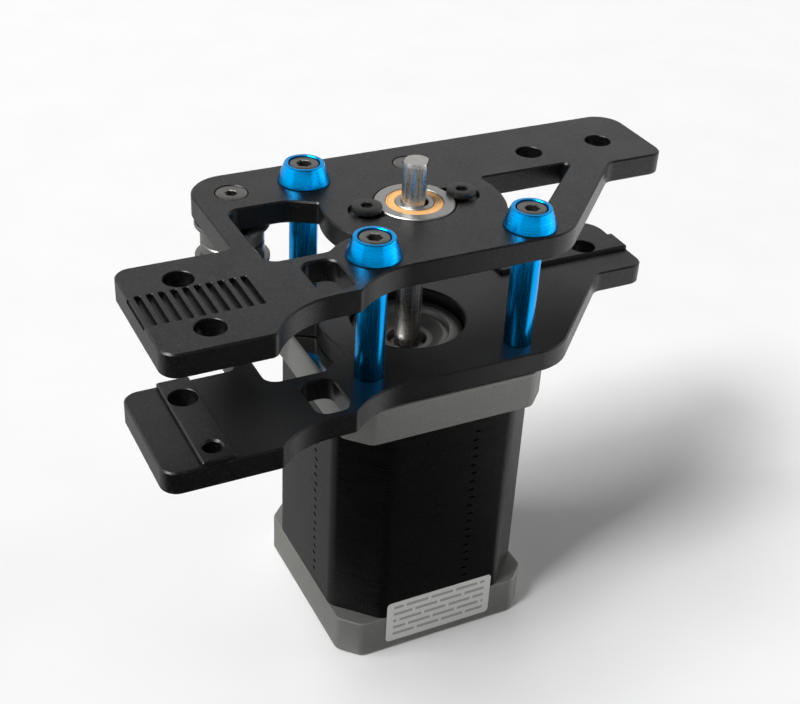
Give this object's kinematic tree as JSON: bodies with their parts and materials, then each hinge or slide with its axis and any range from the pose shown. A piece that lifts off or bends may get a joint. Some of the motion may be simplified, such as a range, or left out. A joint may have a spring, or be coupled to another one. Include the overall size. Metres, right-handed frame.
{
  "type": "belt drive motor mount",
  "caption": "Stepper motor hung under a pair of plates that carry its shaft in an upper bearing and guide a belt over idlers, with tabs that clamp onto extrusion profiles.",
  "frame": {"origin": "where the motor shaft's axis meets the flat rear face of the motor", "axes": "+Z along the shaft from the motor to the plates, +X along the plates towards the longer arm with the triangular window, +Y towards the idlers"},
  "size_m": [0.1158, 0.0587, 0.0979],
  "materials": {
    "black_anodised_plate": "bead blasted and black anodised",
    "blue_anodised": "turned and bright blue anodised",
    "dark_screw_steel": "black oxide",
    "bearing_steel": "ground and polished",
    "ground_steel": "ground, with a machined flat",
    "orange_seal": "moulded seal",
    "cast_aluminium": "die cast, shot blasted",
    "black_lamination": "black coated lamination stack",
    "copper_winding": "enamelled wire",
    "rotor_iron": "ground",
    "ivory_plastic": "moulded",
    "board_green": "solder mask",
    "blank_label": "blank foil label"
  },
  "bodies": {
    "frame": {"top_plate": "black_anodised_plate", "bottom_plate": "black_anodised_plate", "standoff_left_back": "blue_anodised", "cone_washer_left_back": "blue_anodised", "clamp_screw_left_back": "dark_screw_steel", "standoff_left_front": "blue_anodised", "cone_washer_left_front": "blue_anodised", "clamp_screw_left_front": "dark_screw_steel", "standoff_right_front": "blue_anodised", "cone_washer_right_front": "blue_anodised", "clamp_screw_right_front": "dark_screw_steel", "motor_screw_right_back": "dark_screw_steel", "support_bearing_outer_ring": "bearing_steel", "support_bearing_seal_lower": "orange_seal", "support_bearing_seal_upper": "orange_seal", "bearing_retaining_screw_left": "dark_screw_steel", "bearing_retaining_screw_right": "dark_screw_steel", "motor_rear_cap": "cast_aluminium", "motor_stator_core": "black_lamination", "motor_front_flange": "cast_aluminium", "motor_windings": "copper_winding", "motor_tie_screw_right_back": "dark_screw_steel", "motor_tie_screw_left_back": "dark_screw_steel", "motor_tie_screw_left_front": "dark_screw_steel", "motor_tie_screw_right_front": "dark_screw_steel", "motor_connector_socket": "ivory_plastic", "motor_terminal_board": "board_green", "motor_label": "blank_label", "preload_wave_washer": "bearing_steel", "motor_rear_bearing_outer_ring": "bearing_steel", "motor_front_bearing_outer_ring": "bearing_steel", "idler_left_sleeve": "bearing_steel", "idler_left_lower_inner_ring": "bearing_steel", "idler_left_upper_inner_ring": "bearing_steel", "idler_left_top_washer": "dark_screw_steel", "idler_left_screw": "dark_screw_steel", "idler_right_sleeve": "bearing_steel", "idler_right_lower_inner_ring": "bearing_steel", "idler_right_upper_inner_ring": "bearing_steel", "idler_right_top_washer": "dark_screw_steel", "idler_right_screw": "dark_screw_steel"},
    "rotor": {"motor_shaft": "ground_steel", "rotor_core_rear": "rotor_iron", "rotor_magnet": "rotor_iron", "rotor_core_front": "rotor_iron", "support_bearing_inner_ring": "bearing_steel", "motor_rear_bearing_inner_ring": "bearing_steel", "motor_front_bearing_inner_ring": "bearing_steel"},
    "support_bearing_balls": {"support_bearing_ball_set": "bearing_steel"},
    "rear_bearing_balls": {"motor_rear_bearing_ball_set": "bearing_steel"},
    "front_bearing_balls": {"motor_front_bearing_ball_set": "bearing_steel"},
    "idler_left_lower_ring": {"idler_left_lower_outer_ring": "bearing_steel"},
    "idler_left_lower_balls": {"idler_left_lower_ball_set": "bearing_steel"},
    "idler_left_upper_ring": {"idler_left_upper_outer_ring": "bearing_steel"},
    "idler_left_upper_balls": {"idler_left_upper_ball_set": "bearing_steel"},
    "idler_right_lower_ring": {"idler_right_lower_outer_ring": "bearing_steel"},
    "idler_right_lower_balls": {"idler_right_lower_ball_set": "bearing_steel"},
    "idler_right_upper_ring": {"idler_right_upper_outer_ring": "bearing_steel"},
    "idler_right_upper_balls": {"idler_right_upper_ball_set": "bearing_steel"}
  },
  "joints": [
    {"name": "rotor_spin", "type": "hinge", "parent": "frame", "child": "rotor", "pos_m": [0, 0, 0.09], "axis": [0, 0, 1], "continuous": true},
    {"name": "support_bearing_balls_roll", "type": "hinge", "parent": "frame", "child": "support_bearing_balls", "pos_m": [0, 0, 0.09], "axis": [0, 0, 1], "continuous": true},
    {"name": "rear_bearing_balls_roll", "type": "hinge", "parent": "frame", "child": "rear_bearing_balls", "pos_m": [0, 0, 0.09], "axis": [0, 0, 1], "continuous": true},
    {"name": "front_bearing_balls_roll", "type": "hinge", "parent": "frame", "child": "front_bearing_balls", "pos_m": [0, 0, 0.09], "axis": [0, 0, 1], "continuous": true},
    {"name": "idler_left_lower_ring_spin", "type": "hinge", "parent": "frame", "child": "idler_left_lower_ring", "pos_m": [-0.03, 0.0152, 0.0801], "axis": [0, 0, 1], "continuous": true},
    {"name": "idler_left_lower_balls_roll", "type": "hinge", "parent": "frame", "child": "idler_left_lower_balls", "pos_m": [-0.03, 0.0152, 0.0801], "axis": [0, 0, 1], "continuous": true},
    {"name": "idler_left_upper_ring_spin", "type": "hinge", "parent": "frame", "child": "idler_left_upper_ring", "pos_m": [-0.03, 0.0152, 0.0801], "axis": [0, 0, 1], "continuous": true},
    {"name": "idler_left_upper_balls_roll", "type": "hinge", "parent": "frame", "child": "idler_left_upper_balls", "pos_m": [-0.03, 0.0152, 0.0801], "axis": [0, 0, 1], "continuous": true},
    {"name": "idler_right_lower_ring_spin", "type": "hinge", "parent": "frame", "child": "idler_right_lower_ring", "pos_m": [0.0063, 0.0155, 0.0801], "axis": [0, 0, 1], "continuous": true},
    {"name": "idler_right_lower_balls_roll", "type": "hinge", "parent": "frame", "child": "idler_right_lower_balls", "pos_m": [0.0063, 0.0155, 0.0801], "axis": [0, 0, 1], "continuous": true},
    {"name": "idler_right_upper_ring_spin", "type": "hinge", "parent": "frame", "child": "idler_right_upper_ring", "pos_m": [0.0063, 0.0155, 0.0801], "axis": [0, 0, 1], "continuous": true},
    {"name": "idler_right_upper_balls_roll", "type": "hinge", "parent": "frame", "child": "idler_right_upper_balls", "pos_m": [0.0063, 0.0155, 0.0801], "axis": [0, 0, 1], "continuous": true}
  ],
  "couplings": [
    {"joint": "support_bearing_balls_roll", "follows": "rotor_spin", "ratio": 0.405},
    {"joint": "rear_bearing_balls_roll", "follows": "rotor_spin", "ratio": 0.405},
    {"joint": "front_bearing_balls_roll", "follows": "rotor_spin", "ratio": 0.405},
    {"joint": "idler_left_lower_balls_roll", "follows": "idler_left_lower_ring_spin", "ratio": 0.605},
    {"joint": "idler_left_upper_balls_roll", "follows": "idler_left_upper_ring_spin", "ratio": 0.605},
    {"joint": "idler_right_lower_balls_roll", "follows": "idler_right_lower_ring_spin", "ratio": 0.605},
    {"joint": "idler_right_upper_balls_roll", "follows": "idler_right_upper_ring_spin", "ratio": 0.605}
  ]
}
